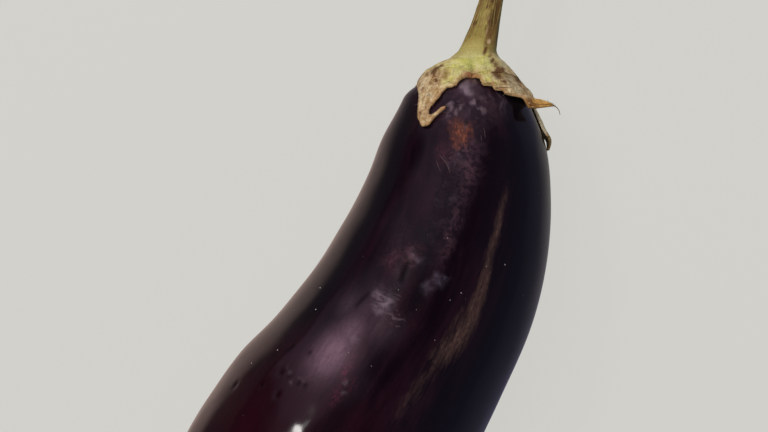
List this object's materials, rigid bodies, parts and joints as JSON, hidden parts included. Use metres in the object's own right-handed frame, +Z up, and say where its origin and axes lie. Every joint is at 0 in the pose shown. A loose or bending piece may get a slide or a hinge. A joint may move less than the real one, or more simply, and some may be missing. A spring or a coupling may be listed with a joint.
{
  "type": "eggplant",
  "caption": "Large purple-black eggplant lying on its side, with a lobed dried calyx on its neck and a cut stem.",
  "frame": {"origin": "on the surface the fruit lies on, under the middle of the part's box", "axes": "+Z up; +Y along the fruit from the blossom end to the stem; +X to the right of someone looking along +Y"},
  "size_m": [0.1004, 0.2674, 0.0909],
  "materials": {
    "ripe_skin": "smooth waxy glossy purple-black skin",
    "dried_calyx": "dry matte tan and yellow-green sepals with brown blotches",
    "green_stem": "matte ridged olive-yellow stalk with brown streaks"
  },
  "bodies": {
    "root": {"fruit": "ripe_skin", "calyx": "dried_calyx", "stem": "green_stem"}
  },
  "joints": []
}
